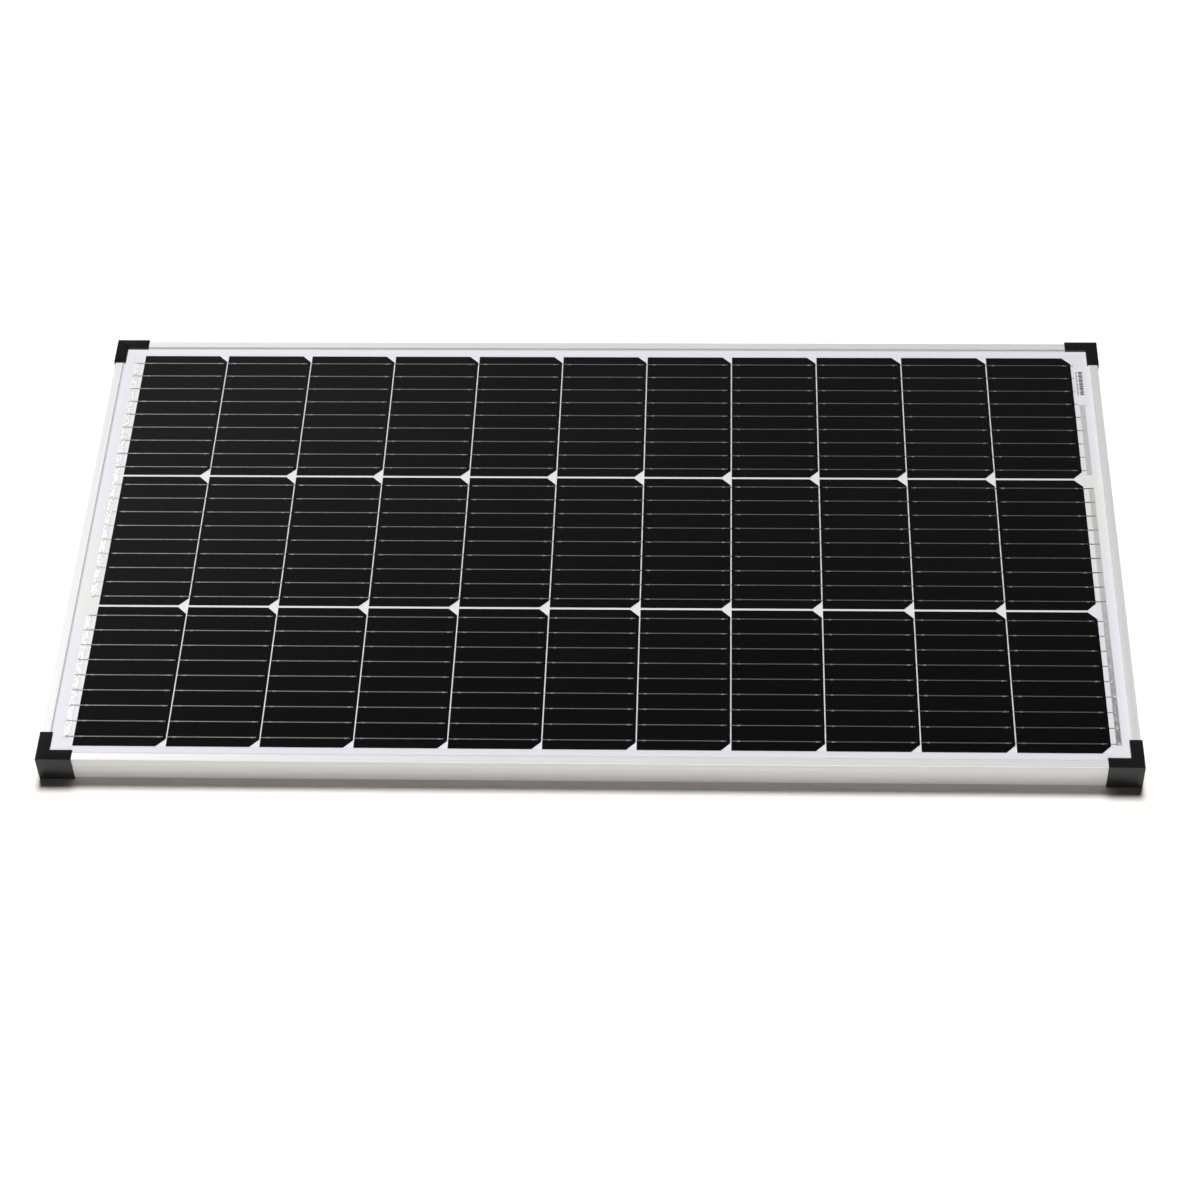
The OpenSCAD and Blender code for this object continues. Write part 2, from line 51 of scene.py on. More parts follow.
# The cells' layout, in metres: it repeats what the design says
COLUMNS = 11
PITCH = Vector((84.5 * MM, 168.8 * MM, 0))
RIBBONS = 9
RIBBON_PITCH = 18.1 * MM
FINGER_PITCH = 1.45 * MM
LIP = 7.8 * MM
ARRAY_LOW, ARRAY_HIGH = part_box("cell_string_front")[0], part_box("cell_string_back")[1]
CELL_TOP = ARRAY_HIGH.z
MIDDLE = (ARRAY_LOW + ARRAY_HIGH) / 2


# ---------------------------------------------------------------- node graphs

class Graph:
    """A material, or the world, and short ways to add nodes to it."""

    def __init__(self, name, world=False):
        self.owner = bpy.data.worlds.new(name) if world else bpy.data.materials.new(name)
        self.owner.use_nodes = True
        self.tree = self.owner.node_tree
        self.tree.nodes.clear()
        self.out = self.tree.nodes.new("ShaderNodeOutputWorld" if world else "ShaderNodeOutputMaterial")

    def node(self, kind, inputs=None, **settings):
        made = self.tree.nodes.new(kind)
        for key, value in settings.items():
            setattr(made, key, value)
        for key, value in (inputs or {}).items():
            self.feed(made.inputs[key], value)
        return made

    def feed(self, socket, value):
        if isinstance(value, bpy.types.NodeSocket):
            self.tree.links.new(value, socket)
        else:
            socket.default_value = value

    def math(self, operation, a, b=0.0, c=0.0):
        return self.node("ShaderNodeMath", {0: a, 1: b, 2: c}, operation=operation).outputs[0]

    def place(self):
        """The object's own coordinates: the row frame, in metres."""
        return self.node("ShaderNodeTexCoord").outputs["Object"]

    def split(self, vector):
        return self.node("ShaderNodeSeparateXYZ", {0: vector}).outputs

    def join(self, x, y, z):
        return self.node("ShaderNodeCombineXYZ", {0: x, 1: y, 2: z}).outputs[0]

    def stretch(self, vector, x, y, z):
        inputs = {0: vector, 1: (x, y, z)}
        return self.node("ShaderNodeVectorMath", inputs, operation="MULTIPLY").outputs[0]

    def noise(self, vector, scale, detail=2.0, rough=0.5):
        inputs = {"Vector": vector, "Scale": scale, "Detail": detail, "Roughness": rough}
        return self.node("ShaderNodeTexNoise", inputs).outputs["Fac"]

    def speck(self, vector):
        """A random value for each whole-numbered place."""
        made = self.node("ShaderNodeTexWhiteNoise", {"Vector": vector}, noise_dimensions="3D")
        return made.outputs["Value"]

    def ramp(self, value, low, high, to_low=0.0, to_high=1.0, shape="LINEAR"):
        inputs = {"Value": value, "From Min": low, "From Max": high, "To Min": to_low, "To Max": to_high}
        return self.node("ShaderNodeMapRange", inputs, interpolation_type=shape).outputs["Result"]

    def mix(self, factor, a, b):
        made = self.node("ShaderNodeMix", data_type="RGBA")
        self.feed(made.inputs["Factor"], factor)
        self.feed(made.inputs[6], (*a, 1.0) if isinstance(a, tuple) else a)
        self.feed(made.inputs[7], (*b, 1.0) if isinstance(b, tuple) else b)
        return made.outputs[2]

    def mix_shaders(self, factor, a, b):
        return self.node("ShaderNodeMixShader", {0: factor, 1: a, 2: b}).outputs[0]

    def bump(self, height, strength, distance):
        inputs = {"Height": height, "Strength": strength, "Distance": distance}
        return self.node("ShaderNodeBump", inputs).outputs["Normal"]

    def finish(self, shader):
        self.tree.links.new(shader, self.out.inputs["Surface"])
        return self.owner

    def principled(self, **inputs):
        named = {key.replace("_", " "): value for key, value in inputs.items()}
        return self.finish(self.node("ShaderNodeBsdfPrincipled", named).outputs[0])


def tint(colour, factor):
    return tuple(min(1.0, part * factor) for part in colour)


# ---------------------------------------------------------------- materials

def aluminium(name, along, low=(0.655, 0.655, 0.652), high=(0.81, 0.81, 0.807)):
    """Satin anodised extrusion: fine die lines run along the rail."""
    g = Graph(name)
    place = g.place()
    fine = (3.0, 2200.0, 2200.0) if along == "x" else (2200.0, 3.0, 2200.0)
    broad = (0.8, 480.0, 480.0) if along == "x" else (480.0, 0.8, 480.0)
    lines = g.noise(g.stretch(place, *fine), 1.0, 3.0, 0.6)
    bands = g.noise(g.stretch(place, *broad), 1.0, 2.0, 0.5)
    cloud = g.noise(place, 14.0, 3.0)
    grain = g.noise(place, 5200.0, 2.0)
    shade = g.math("ADD", g.ramp(lines, 0.3, 0.7, 0.0, 0.6), g.ramp(bands, 0.3, 0.7, 0.0, 0.4))
    colour = g.mix(shade, low, high)
    rough = g.math("ADD", g.ramp(shade, 0.2, 0.8, 0.44, 0.52), g.ramp(cloud, 0.3, 0.7, -0.03, 0.03))
    normal = g.bump(g.math("ADD", lines, g.math("MULTIPLY", grain, 0.4)), 0.12, 0.04 * MM)
    return g.principled(Base_Color=colour, Metallic=0.35, Roughness=rough, Normal=normal)


def moulded(name, shade, rough, grain):
    """Black moulded plastic with a fine eroded texture."""
    g = Graph(name)
    place = g.place()
    grains = g.noise(place, grain, 3.0, 0.6)
    cloud = g.noise(place, 70.0, 2.0)
    darker, lighter = tint((0.96, 0.97, 1.0), shade * 0.85), tint((0.97, 0.98, 1.0), shade * 1.15)
    colour = g.mix(g.ramp(cloud, 0.35, 0.65), darker, lighter)
    roughness = g.ramp(grains, 0.3, 0.7, rough - 0.06, rough + 0.06)
    return g.principled(Base_Color=colour, Roughness=roughness, Normal=g.bump(grains, 0.3, 0.08 * MM))


def cell_silicon():
    """Nearly black cells with thin silver fingers, each cell a little different."""
    g = Graph("cell_silicon")
    place = g.place()
    x, y, z = g.split(place)
    across = g.math("SUBTRACT", x, ARRAY_LOW.x)
    column = g.math("FLOOR", g.math("DIVIDE", across, PITCH.x))
    row = g.math("ROUND", g.math("DIVIDE", g.math("SUBTRACT", y, MIDDLE.y), PITCH.y))
    own = g.speck(g.join(column, row, 0.0))
    inside = g.math("MODULO", across, PITCH.x)
    step = g.math("FRACT", g.math("DIVIDE", inside, FINGER_PITCH))
    finger = g.ramp(g.math("ABSOLUTE", g.math("SUBTRACT", step, 0.5)), 0.02, 0.035, 1.0, 0.0)
    cloud = g.noise(place, 45.0, 3.0, 0.6)
    grain = g.noise(place, 2600.0, 2.0)
    uneven = g.math("ADD", g.math("MULTIPLY", cloud, 0.3), g.math("MULTIPLY", grain, 0.4))
    lit = g.math("ADD", g.math("MULTIPLY", own, 0.5), uneven)
    silicon = g.mix(lit, (0.0004, 0.0004, 0.0007), (0.0020, 0.0020, 0.0025))
    colour = g.mix(finger, silicon, (0.040, 0.040, 0.042))
    return g.principled(Base_Color=colour, Roughness=g.ramp(grain, 0.3, 0.7, 0.45, 0.6),
                        Specular_IOR_Level=0.02, Normal=g.bump(grain, 0.1, 0.02 * MM))


def tinned(name, low, high, metallic, rough, wrinkle):
    """Solder-coated copper: dull silver with brighter and darker runs."""
    g = Graph(name)
    place = g.place()
    runs = g.noise(g.stretch(place, 1.0, 1.6, 1.0), 260.0, 4.0, 0.65)
    fine = g.noise(place, 2300.0, 3.0, 0.6)
    mottle = g.math("ADD", g.math("MULTIPLY", runs, 0.65), g.math("MULTIPLY", fine, 0.35))
    colour = g.mix(g.ramp(mottle, 0.38, 0.62), low, high)
    roughness = g.ramp(mottle, 0.35, 0.65, rough + 0.1, rough - 0.1)
    normal = g.bump(mottle, wrinkle, 0.1 * MM)
    return g.principled(Base_Color=colour, Metallic=metallic, Roughness=roughness, Normal=normal)


# Where along y a strip's tone turns from mottled to even
MOTTLED_TO = -0.22
EVEN_FROM = -0.04


def bus_strip(name, flecks, soft, low, high, dark, even=None):
    """Flat tinned strip, dented and greyer where each ribbon is soldered to it. A near-white high tone
    stands for painted glints where the strip would mirror a lamp.

    With even, the strip is that plain tone toward the back and mottled toward the front."""
    g = Graph(name)
    place = g.place()
    x, y, z = g.split(place)
    from_middle = g.math("SUBTRACT", y, MIDDLE.y)
    row = g.math("ROUND", g.math("DIVIDE", from_middle, PITCH.y))
    local = g.math("SUBTRACT", from_middle, g.math("MULTIPLY", row, PITCH.y))
    step = g.math("DIVIDE", local, RIBBON_PITCH)
    gap = g.math("ABSOLUTE", g.math("SUBTRACT", step, g.math("ROUND", step)))
    near = g.ramp(gap, 0.06, 0.2, 1.0, 0.0)
    runs = g.noise(g.stretch(place, 1.3, 0.6, 1.0), flecks, 3.0, 0.6)
    fine = g.noise(place, 1500.0, 3.0, 0.6)
    mottle = g.math("ADD", g.math("MULTIPLY", runs, 0.7), g.math("MULTIPLY", fine, 0.3))
    light = g.ramp(mottle, 0.5 - soft, 0.5 + soft)
    colour = g.mix(near, g.mix(light, low, high), g.mix(light, dark, high))
    if even:
        smooth = g.mix(g.ramp(fine, 0.3, 0.7), tint(even, 0.92), tint(even, 1.08))
        colour = g.mix(g.ramp(y, MOTTLED_TO, EVEN_FROM), colour, smooth)
    rough = g.ramp(mottle, 0.35, 0.65, 0.52, 0.34)
    normal = g.bump(mottle, 0.3, 0.15 * MM)
    return g.principled(Base_Color=colour, Metallic=0.3, Roughness=rough, Normal=normal)


def film(name, colour, rough, scale, bump):
    """Matt sheet with a faint cloudiness and a fine embossed surface."""
    g = Graph(name)
    place = g.place()
    cloud = g.noise(place, scale, 3.0)
    emboss = g.noise(place, 1500.0, 2.0)
    shade = g.mix(g.ramp(cloud, 0.3, 0.7), tint(colour, 0.985), tint(colour, 1.015))
    return g.principled(Base_Color=shade, Roughness=g.ramp(emboss, 0.3, 0.7, rough - 0.05, rough + 0.05),
                        Normal=g.bump(emboss, bump, 0.05 * MM))


# How far past a lip's edge the painted shade under it starts, and how far in it is darkest
BACK_SHADE = (-0.6 * MM, 3.4 * MM)
LEFT_SHADE = (-1.4 * MM, 2.5 * MM)


def white_encapsulant(gap_tone, front_tone, edge_tone, shade_tone):
    """White sheet: its tone differs between the cells, in front of them and round the other edges.

    It is painted darker where the back and left lips stand over it: painted shade under the lips, which
    don't block the key or the left softbox."""
    g = Graph("white_encapsulant")
    place = g.place()
    x, y, z = g.split(place)
    front = g.ramp(y, ARRAY_LOW.y + MM, ARRAY_LOW.y)
    edge = g.math("MAXIMUM", g.ramp(g.math("ABSOLUTE", x), ARRAY_HIGH.x, ARRAY_HIGH.x + MM),
                  g.ramp(y, ARRAY_HIGH.y - MM, ARRAY_HIGH.y))
    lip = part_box("frame_rail_back")[1] - Vector((LIP, LIP, 0))
    # Painted shade: under the back and left lips the sheet is mixed toward shade_tone
    shaded = g.math("MAXIMUM", g.ramp(y, lip.y + BACK_SHADE[0], lip.y + BACK_SHADE[1]),
                    g.ramp(x, -lip.x - LEFT_SHADE[0], -lip.x - LEFT_SHADE[1]))
    cloud = g.noise(place, 12.0, 3.0)
    emboss = g.noise(place, 1500.0, 2.0)
    tone = g.mix(shaded, g.mix(edge, g.mix(front, gap_tone, front_tone), edge_tone), shade_tone)
    colour = g.mix(g.ramp(cloud, 0.3, 0.7, 0.0, 0.03), tone, (1.0, 1.0, 1.0))
    return g.principled(Base_Color=colour, Roughness=g.ramp(emboss, 0.3, 0.7, 0.45, 0.55),
                        Normal=g.bump(emboss, 0.1, 0.05 * MM))


def through_for_light(g, shader):
    """Bends what is seen through it, and lets the light for what lies under it pass straight."""
    path = g.node("ShaderNodeLightPath").outputs
    clear = g.node("ShaderNodeBsdfTransparent", {"Color": GLASS_TINT}).outputs[0]
    inner = g.mix_shaders(path["Is Singular Ray"], clear, shader)
    seen = g.mix_shaders(path["Is Camera Ray"], inner, shader)
    return g.finish(g.mix_shaders(path["Is Shadow Ray"], seen, clear))


def glass_face():
    """The side in the air bends rays and mirrors some."""
    g = Graph("solar_glass")
    inputs = {"Color": GLASS_TINT, "Roughness": 0.0, "IOR": GLASS_IOR}
    return through_for_light(g, g.node("ShaderNodeBsdfGlass", inputs).outputs[0])


def glass_back():
    """The side bonded to the encapsulant bends rays but mirrors none."""
    g = Graph("glass_bonded_side")
    inputs = {"Color": (1, 1, 1, 1), "Roughness": 0.0, "IOR": GLASS_IOR}
    return through_for_light(g, g.node("ShaderNodeBsdfRefraction", inputs).outputs[0])


def printed(name, colour, rough):
    """Thin dull ink."""
    g = Graph(name)
    grain = g.noise(g.place(), 2500.0, 2.0)
    return g.principled(Base_Color=g.mix(grain, tint(colour, 0.9), tint(colour, 1.1)), Roughness=rough)


def grey(level, blue=0.0):
    """A neutral tone, a little bluer or, with a negative value, yellower."""
    return (level, level, level + blue)


MATERIALS = {
    "rail_x": aluminium("anodised_along_x", "x"),
    "rail_y": aluminium("anodised_along_y", "y"),
    # The left rail is a darker, slightly yellower copy of the same aluminium: painted shade on the lip the
    # left softbox lights most
    "rail_left": aluminium("anodised_left_painted_darker", "y", low=grey(0.605, -0.003), high=grey(0.75, -0.003)),
    "key": tinned("corner_key_metal", grey(0.5), grey(0.62), metallic=0.9, rough=0.4, wrinkle=0.2),
    "cap": moulded("cap_plastic", shade=0.008, rough=0.42, grain=2500.0),
    "box": moulded("box_plastic", shade=0.028, rough=0.40, grain=1800.0),
    "gland": moulded("gland_plastic", shade=0.045, rough=0.34, grain=2200.0),
    "rubber": moulded("seal_rubber", shade=0.03, rough=0.7, grain=900.0),
    "diode": moulded("diode_body", shade=0.03, rough=0.3, grain=3000.0),
    "cell": cell_silicon(),
    "ribbon": tinned("tinned_ribbon", grey(0.36, -0.01), grey(0.58, -0.02),
                     metallic=0.92, rough=0.42, wrinkle=0.3),
    "pad": tinned("solder_pad", grey(0.70, -0.01), grey(0.95, -0.02),
                  metallic=0.2, rough=0.35, wrinkle=0.5),
    "solder": tinned("solder_lump", grey(0.42, -0.01), grey(0.85, -0.02),
                     metallic=0.3, rough=0.35, wrinkle=0.5),
    "lead": tinned("tinned_lead_out", grey(0.45, -0.01), grey(0.7, -0.02),
                   metallic=0.6, rough=0.35, wrinkle=0.3),
    "brass": tinned("terminal_metal", (0.62, 0.50, 0.28), (0.78, 0.66, 0.40),
                    metallic=0.95, rough=0.32, wrinkle=0.2),
    # The left strips' near-white patches are painted glints, where the strip would mirror the left softbox
    "strip_left": bus_strip("tinned_strip_left_painted_glints", flecks=430.0, soft=0.04, low=grey(0.64),
                            high=(0.97, 0.96, 0.92), dark=grey(0.48, -0.02)),
    # The right strips are a darker copy of the same tinned strip: painted shade where they would mirror
    # the darker studio
    "strip_right": bus_strip("tinned_strip_right_painted_darker", flecks=240.0, soft=0.13, low=grey(0.18),
                             high=grey(0.50, -0.01), dark=grey(0.18), even=grey(0.61, -0.01)),
    "white": white_encapsulant(gap_tone=grey(0.675, 0.03), front_tone=grey(0.605, 0.04),
                               edge_tone=grey(0.645, 0.04), shade_tone=grey(0.09, 0.01)),
    "backsheet": film("backsheet_film", grey(0.71, -0.01), rough=0.45, scale=9.0, bump=0.25),
    "insulation": film("insulation_film", grey(0.66, -0.01), rough=0.45, scale=40.0, bump=0.15),
    "label": film("label_film", grey(0.68, 0.02), rough=0.4, scale=60.0, bump=0.05),
    "silicone": film("silicone", grey(0.75, -0.01), rough=0.42, scale=80.0, bump=0.2),
    "ink": printed("label_ink", grey(0.05, 0.005), rough=0.55),
    "glass_face": glass_face(),
    "glass_back": glass_back(),
}


# ---------------------------------------------------------------- making pieces

def add_piece(name, mesh, body, materials, replaced=()):
    """A visual piece that rides on a body. It may stand for some CAD nodes."""
    piece = bpy.data.objects.new(name, mesh)
    SCENE.collection.objects.link(piece)
    for key in materials:
        mesh.materials.append(MATERIALS[key])
    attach(piece, body)
    if replaced:
        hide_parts(*replaced)
    return piece


def apply_modifiers(piece):
    """Leaves the piece a plain mesh, shaped as its modifiers shape it."""
    shape = piece.evaluated_get(bpy.context.evaluated_depsgraph_get())
    mesh = bpy.data.meshes.new_from_object(shape)
    piece.modifiers.clear()
    piece.data = mesh


def clean_copy(name, node):
    """A copy of a CAD node's mesh, with flat faces joined up again."""
    mesh = bpy.data.meshes.new(name)
    bm = bmesh.new()
    bm.from_mesh(NODES[node].data)
    bmesh.ops.remove_doubles(bm, verts=bm.verts, dist=0.002 * MM)
    bmesh.ops.dissolve_limit(bm, angle_limit=math.radians(1.0), verts=bm.verts, edges=bm.edges)
    for face in bm.faces:
        face.smooth = True
        face.material_index = 0
    bm.to_mesh(mesh)
    bm.free()
    return mesh


SHARP = math.radians(35)


def rounded(node, body, material, width, segments=2, groove=None):
    """Stands for a moulded CAD node, with its sharp edges rounded."""
    name = node + "_moulded"
    piece = add_piece(name, clean_copy(name, node), body, [material], [node])
    bevel = piece.modifiers.new("bevel", "BEVEL")
    bevel.width = width
    bevel.segments = segments
    bevel.limit_method = "ANGLE"
    bevel.angle_limit = SHARP
    bevel.harden_normals = True
    if groove:
        cut = piece.modifiers.new("groove", "BOOLEAN")
        cut.operation = "DIFFERENCE"
        cut.solver = "EXACT"
        cut.object = groove
    apply_modifiers(piece)
    if groove:
        bpy.data.objects.remove(groove)
    return piece


def box_faces(bm, low, high):
    """Adds a box without its underside, which lies on something."""
    corners = [(x, y, z) for z in (low[2], high[2]) for x, y in
               ((low[0], low[1]), (high[0], low[1]), (high[0], high[1]), (low[0], high[1]))]
    verts = [bm.verts.new(c) for c in corners]
    for loop in ((4, 5, 6, 7), (0, 1, 5, 4), (1, 2, 6, 5), (2, 3, 7, 6), (3, 0, 4, 7)):
        bm.faces.new([verts[i] for i in loop])


def mesh_of(name, fill):
    """The mesh that a fill function builds."""
    mesh = bpy.data.meshes.new(name)
    bm = bmesh.new()
    fill(bm)
    bm.to_mesh(mesh)
    bm.free()
    return mesh


# ---------------------------------------------------------------- glass

ARRIS = 0.6 * MM


def fill_glass(bm):
    """Pane with ground edges. Its upper side mirrors, its lower side is bonded."""
    low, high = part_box("encapsulant_front")[0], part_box("glass_pane")[1]
    rings = []
    for z, inset in ((low.z, 0.0), (high.z - ARRIS, 0.0), (high.z, ARRIS)):
        ring = [(low.x + inset, low.y + inset), (high.x - inset, low.y + inset),
                (high.x - inset, high.y - inset), (low.x + inset, high.y - inset)]
        rings.append([bm.verts.new((x, y, z)) for x, y in ring])
    for below, above in zip(rings, rings[1:]):
        for i in range(4):
            bm.faces.new((below[i], below[(i + 1) % 4], above[(i + 1) % 4], above[i]))
    bm.faces.new(rings[-1])
    bottom = bm.faces.new(list(reversed(rings[0])))
    bottom.material_index = 1


glass = add_piece("glass", mesh_of("glass", fill_glass), "panel", ["glass_face", "glass_back"],
                  ["glass_pane", "encapsulant_front"])


# ---------------------------------------------------------------- solder pads on the cells

# Along a cell, from its left edge, and what a pad measures from its middle
PAD_PLACES = [place * MM for place in (6.5, 20.5, 34.5, 48.5, 62.5, 76.5)]
END_PAD = Vector((1.2, 0.6, 0)) * MM
PAD = Vector((0.7, 0.42, 0)) * MM
PAD_HEIGHT = Vector((0, 0, 0.03 * MM))


def ribbon_rows():
    """Where each ribbon of each string lies, as y."""
    return [MIDDLE.y + s * PITCH.y + (ribbon - (RIBBONS - 1) / 2) * RIBBON_PITCH
            for s in (-1, 0, 1) for ribbon in range(RIBBONS)]


def fill_pads(bm):
    """Silver pads that the ribbons are soldered to. The two end pads of a ribbon are the largest."""
    for column in range(COLUMNS):
        left = ARRAY_LOW.x + column * PITCH.x
        for y in ribbon_rows():
            for place in PAD_PLACES:
                half = END_PAD if place in (PAD_PLACES[0], PAD_PLACES[-1]) else PAD
                centre = Vector((left + place, y, CELL_TOP))
                box_faces(bm, centre - half, centre + half + PAD_HEIGHT)


add_piece("solder_pads", mesh_of("solder_pads", fill_pads), "panel", ["pad"])


# What a solder lump measures from its middle, how far it may stray, and how high it sits
LUMP = Vector((1.5, 1.0, 0.12)) * MM
LUMP_SWAY = Vector((0.8, 0.3, 0)) * MM
LUMP_RISE = 0.02 * MM


def fill_joints(bm):
    """Low solder lumps where the ribbons cross the bus strips, no two alike."""
    places = [(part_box(node), y) for node in NODES if node.startswith("bus_strip") for y in ribbon_rows()]
    crossings = [(low, high, y) for (low, high), y in places if low.y < y < high.y]
    for count, (low, high, y) in enumerate(crossings, 1):
        lean = math.sin(count * 2.4)
        centre = Vector(((low.x + high.x) / 2, y, high.z + LUMP_RISE)) + LUMP_SWAY * lean
        length = LUMP.x * (1.0 + 0.2 * lean)
        width = LUMP.y * (1.0 + 0.25 * math.cos(count * 1.7))
        for v in bmesh.ops.create_icosphere(bm, subdivisions=2, radius=1.0)["verts"]:
            wave = 1.0 + 0.18 * math.sin(7.0 * v.co.x + count) * math.cos(5.0 * v.co.y + 2.0 * count)
            v.co = centre + Vector((v.co.x * length * wave, v.co.y * width * wave, v.co.z * LUMP.z))
    for face in bm.faces:
        face.smooth = True


add_piece("solder_joints", mesh_of("solder_joints", fill_joints), "panel", ["solder"])


# ---------------------------------------------------------------- label print

# Bars and spaces in turn, and where their two rows and their run lie on the label
BAR_WIDTHS = [units * 0.36 * MM for units in (4, 1, 2, 2, 5, 1, 3, 2, 2, 1, 6, 2)]
BAR_ROW = (3.9 * MM, 7.7 * MM)
TICK_ROW = (1.1 * MM, 2.7 * MM)
BAR_RUN = (14 * MM, 45 * MM)
INK_HEIGHT = 0.01 * MM


def fill_bars(bm):
    """A plain run of bars with no meaning, and shorter ticks beside them."""
    low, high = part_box("serial_label")
    top = high.z + INK_HEIGHT
    y = low.y + BAR_RUN[0]
    step = 0
    while y < low.y + BAR_RUN[1]:
        width = BAR_WIDTHS[step % len(BAR_WIDTHS)]
        if step % 2 == 0:
            for (start, end), share in ((BAR_ROW, 1.0), (TICK_ROW, 0.7)):
                box_faces(bm, (low.x + start, y, high.z), (low.x + end, y + share * width, top))
        y += width
        step += 1


add_piece("label_bars", mesh_of("label_bars", fill_bars), "panel", ["ink"])


# ---------------------------------------------------------------- corner caps and the junction box

MITRE_LENGTH = 17.5 * MM
MITRE_DEPTH = 0.5 * MM


def mitre_groove(node):
    """V-shaped cutter along the cap's mitre, from its outer corner to its inner one."""
    low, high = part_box(node)
    side = Vector((1 if high.x > 0 else -1, 1 if high.y > 0 else -1))
    outer = Vector((high.x if side.x > 0 else low.x, high.y if side.y > 0 else low.y))
    inward = -side.normalized()
    across = Vector((-inward.y, inward.x))
    start, end = outer - inward * MM, outer + inward * MITRE_LENGTH
    verts = []
    for at in (start, end):
        for sway, rise in ((-2, 1), (2, 1), (0, -1)):
            verts.append((*(at + across * sway * MITRE_DEPTH), high.z + rise * MITRE_DEPTH))
    mesh = bpy.data.meshes.new(node + "_cutter")
    mesh.from_pydata(verts, [], [(0, 2, 1), (3, 4, 5), (0, 1, 4, 3), (1, 2, 5, 4), (2, 0, 3, 5)])
    bm = bmesh.new()
    bm.from_mesh(mesh)
    bmesh.ops.recalc_face_normals(bm, faces=bm.faces)
    bm.to_mesh(mesh)
    bm.free()
    cutter = bpy.data.objects.new(node + "_cutter", mesh)
    SCENE.collection.objects.link(cutter)
    return cutter


caps = [rounded(node, "panel", "cap", width=0.4 * MM, segments=3, groove=mitre_groove(node))
        for node in NODES if node.startswith("corner_cap")]

rounded("junction_box_base", "panel", "box", width=0.3 * MM)
rounded("junction_box_lid", "lid", "box", width=0.3 * MM)
for side in ("left", "right"):
    rounded("gland_nut_" + side, "panel", "gland", width=0.25 * MM)


# ---------------------------------------------------------------- materials of the CAD nodes

# How a node's name starts, and its material
KINDS = {
    "frame_rail_front": "rail_x", "frame_rail_back": "rail_x",
    "frame_rail_left": "rail_left", "frame_rail_right": "rail_y",
    "corner_key": "key", "frame_sealant": "silicone",
    "encapsulant_rear": "white", "backsheet": "backsheet",
    "cell_string": "cell", "ribbons": "ribbon",
    "bus_strip_left": "strip_left", "bus_strip_right": "strip_right",
    "lead_out": "lead", "insulation": "insulation", "serial_label": "label",
    "lid_gasket": "rubber", "box_adhesive": "silicone",
    "terminal": "brass", "bypass_diode": "diode", "gland_seal": "rubber",
}
for name, node in NODES.items():
    for start, key in KINDS.items():
        if name.startswith(start):
            for holder in node.material_slots:
                holder.link = "OBJECT"
                holder.material = MATERIALS[key]


# ---------------------------------------------------------------- camera

# The lens, in millimetres on a sensor 36 wide, then where it stands and which way it looks and holds level
SENSOR = 36.0
LENS = 89.36
LENS_SHIFT = (-0.00375, -0.01245)
STANDS_AT = Vector((0.1162, -1.9113, 2.0993))
LOOKS_ALONG = Vector((-0.03822, 0.66614, -0.74485))
LEVEL = Vector((0.99925, 0.0296, -0.0248))


def add_camera():
    lens = bpy.data.cameras.new("camera")
    lens.sensor_width = SENSOR
    lens.lens = LENS
    lens.shift_x, lens.shift_y = LENS_SHIFT
    lens.clip_end = 2.5 * FLOOR_REACH
    forward = LOOKS_ALONG.normalized()
    right = (LEVEL - forward * LEVEL.dot(forward)).normalized()
    turn = Matrix((right, right.cross(forward), -forward)).transposed().to_4x4()
    camera = bpy.data.objects.new("camera", lens)
    camera.matrix_world = Matrix.Translation(STANDS_AT) @ turn
    SCENE.collection.objects.link(camera)
    SCENE.camera = camera


add_camera()


# ---------------------------------------------------------------- floor and world

FLOOR_COLOUR = (0.82, 0.785, 0.75, 1)


def floor_material():
    """Matt above. From below it isn't there, so that the underside can be looked at."""
    g = Graph("floor_white")
    matt = g.node("ShaderNodeBsdfDiffuse", {"Color": FLOOR_COLOUR}).outputs[0]
    clear = g.node("ShaderNodeBsdfTransparent").outputs[0]
    below = g.node("ShaderNodeNewGeometry").outputs["Backfacing"]
    return g.finish(g.mix_shaders(below, matt, clear))


def add_floor():
    mesh = bpy.data.meshes.new("floor")
    corners = [(x * FLOOR_REACH, y * FLOOR_REACH, 0) for x, y in ((-1, -1), (1, -1), (1, 1), (-1, 1))]
    mesh.from_pydata(corners, [], [(0, 1, 2, 3)])
    mesh.materials.append(floor_material())
    made = bpy.data.objects.new("floor", mesh)
    SCENE.collection.objects.link(made)
    return made


floor = add_floor()

# How bright the studio's parts are
WALL_LEFT = 0.25
WALL_RIGHT = 0.075
CEILING = 0.006
HORIZON_GLOSS = 0.3
BACKDROP = 1.1


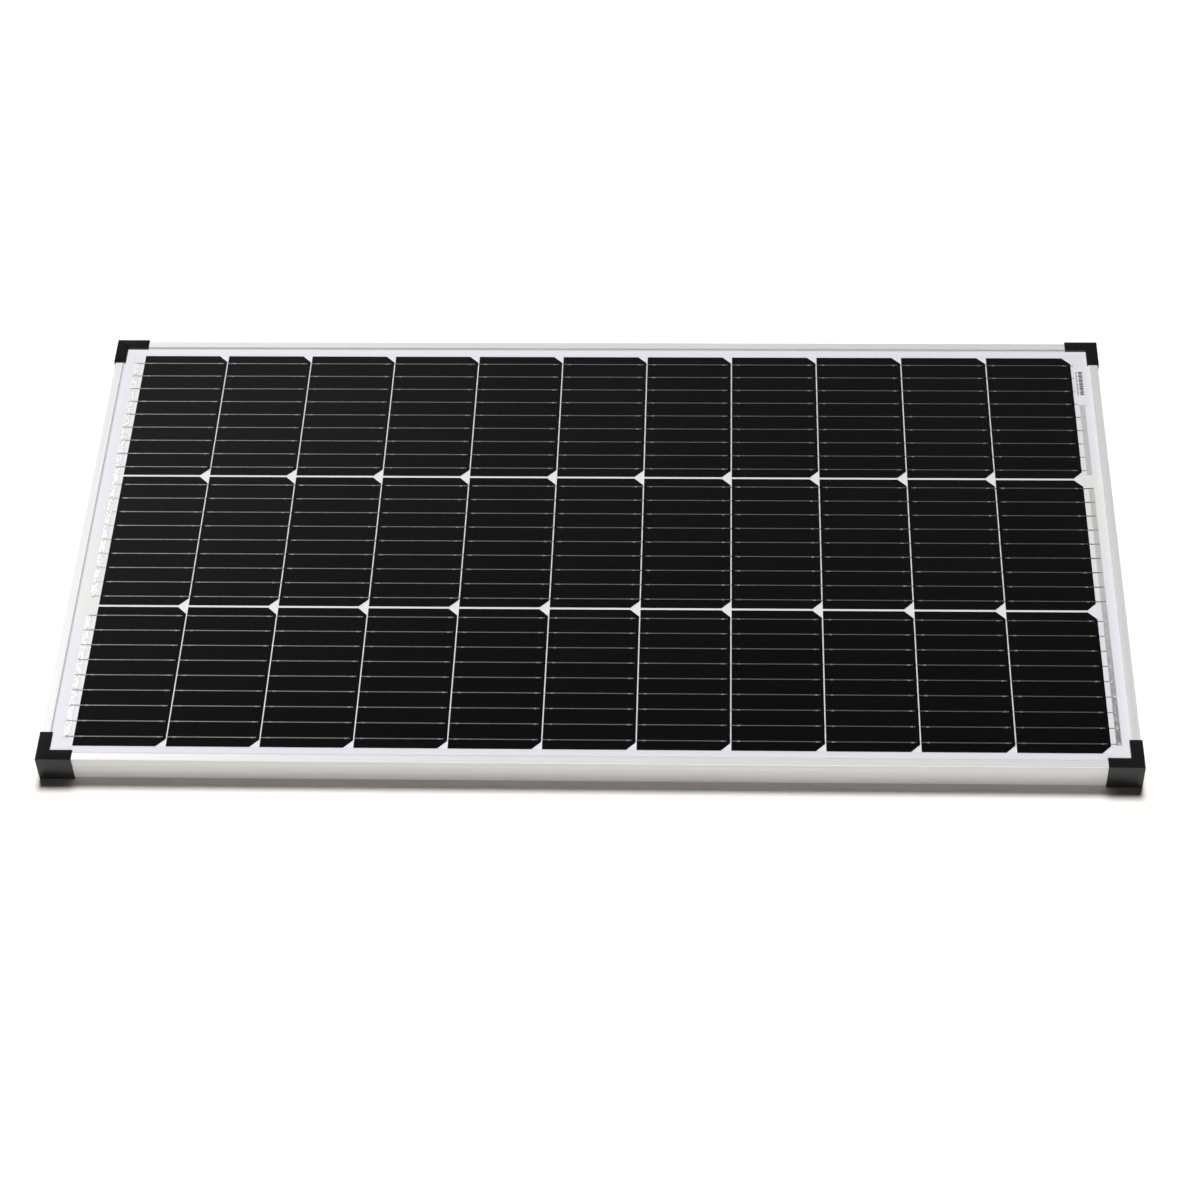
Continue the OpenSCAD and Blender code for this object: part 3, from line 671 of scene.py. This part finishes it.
def studio_world():
    """A pale wall behind the panel, brighter to the left, under a dark ceiling.

    Glossy surfaces see a horizon as well, and the camera sees a white backdrop instead."""
    g = Graph("studio", world=True)
    # The parts of the direction looked in: z is the sine of its height
    x, y, z = g.split(g.node("ShaderNodeTexCoord").outputs["Generated"])
    below_ceiling = g.ramp(z, 0.69, 0.79, 1.0, 0.0, shape="SMOOTHSTEP")
    behind = g.ramp(y, 0.15, 0.55, shape="SMOOTHSTEP")
    brightness = g.ramp(x, -0.32, 0.05, WALL_LEFT, WALL_RIGHT, shape="SMOOTHSTEP")
    horizon = g.ramp(z, 0.0, 0.35, HORIZON_GLOSS, 0.0, shape="SMOOTHSTEP")
    path = g.node("ShaderNodeLightPath").outputs
    wall = g.math("MULTIPLY_ADD", g.math("MULTIPLY", below_ceiling, behind), brightness, CEILING)
    level = g.math("MULTIPLY_ADD", horizon, path["Is Glossy Ray"], wall)
    white = (1.0, 1.0, 1.0, 1)
    studio = g.node("ShaderNodeBackground", {"Color": white, "Strength": level}).outputs[0]
    backdrop = g.node("ShaderNodeBackground", {"Color": white, "Strength": BACKDROP}).outputs[0]
    return g.finish(g.mix_shaders(path["Is Camera Ray"], studio, backdrop))


SCENE.world = studio_world()


# ---------------------------------------------------------------- lights

def linked(name, kept_out=(), only=()):
    """Which objects a light falls on, or which block it."""
    made = bpy.data.collections.new(name)
    for state, group in (("EXCLUDE", kept_out), ("INCLUDE", only)):
        for obj in group:
            made.objects.link(obj)
            made.collection_objects[-1].light_linking.link_state = state
    return made


def add_light(name, kind, energy, falls_on, blocked_by=None):
    lamp = bpy.data.objects.new(name, bpy.data.lights.new(name, kind))
    lamp.data.energy = energy
    lamp.light_linking.receiver_collection = falls_on
    lamp.light_linking.blocker_collection = blocked_by
    SCENE.collection.objects.link(lamp)
    return lamp


def key_light(name, energy, elevation, spread, falls_on, blocked_by=None):
    """Soft light from behind, or from below where the elevation is negative, in degrees."""
    lamp = add_light(name, "SUN", energy, falls_on, blocked_by)
    lamp.data.angle = math.radians(spread)
    lamp.rotation_euler = (math.radians(elevation - 90), 0, 0)
    lamp.visible_glossy = False


def softbox(name, energy, size, place, target, falls_on, blocked_by=None, colour=(1, 1, 1)):
    """A rectangular lamp that faces its target."""
    lamp = add_light(name, "AREA", energy, falls_on, blocked_by)
    lamp.data.shape = "RECTANGLE"
    lamp.data.size, lamp.data.size_y = size
    lamp.data.color = colour
    lamp.location = place
    lamp.rotation_euler = (Vector(target) - Vector(place)).to_track_quat("-Z", "Y").to_euler()


LIPS = [node for name, node in NODES.items() if name.startswith(("frame_rail", "frame_sealant"))]
off_floor = linked("off_floor", kept_out=[floor])
off_glass = linked("off_glass", kept_out=[floor, glass])
off_caps = linked("off_caps", kept_out=[floor, glass] + caps)
not_lips = linked("not_lips", kept_out=caps + LIPS)

# The key comes from behind, so the shade falls in front. Real glass carries light sideways under the
# frame's lips, so they don't block the key and the left softbox.
# The white sheet has painted shade under the back and left lips instead.
key_light("key_on_panel", energy=2.1, elevation=62.5, spread=18, falls_on=off_floor, blocked_by=not_lips)
key_light("key_on_floor", energy=4.5, elevation=65.0, spread=18, falls_on=linked("on_floor", only=[floor]))

# This one shows the underside, because the floor lets it through
key_light("from_below", energy=1.9, elevation=-75.0, spread=40, falls_on=off_floor,
          blocked_by=linked("not_floor", kept_out=[floor]))

# The softboxes fall on the panel only, so the floor's shade stays deep, and they don't mirror in the glass
softbox("softbox_left", energy=60, size=(1.2, 1.2), place=(-2.2, 1.7, 2.4), target=(0, 0, 0),
        falls_on=off_caps, blocked_by=not_lips)
softbox("fill_front", energy=92, size=(1.6, 1.2), place=(0.2, -2.5, 3.2), target=(0, 0, 0),
        falls_on=off_glass)
softbox("fill_low", energy=8.5, size=(4.0, 0.5), place=(0.0, -4.5, 0.42), target=(0, -0.27, 0.02),
        falls_on=off_glass, colour=(1.0, 0.85, 0.68))
SCENE.view_settings.view_transform = "Standard"
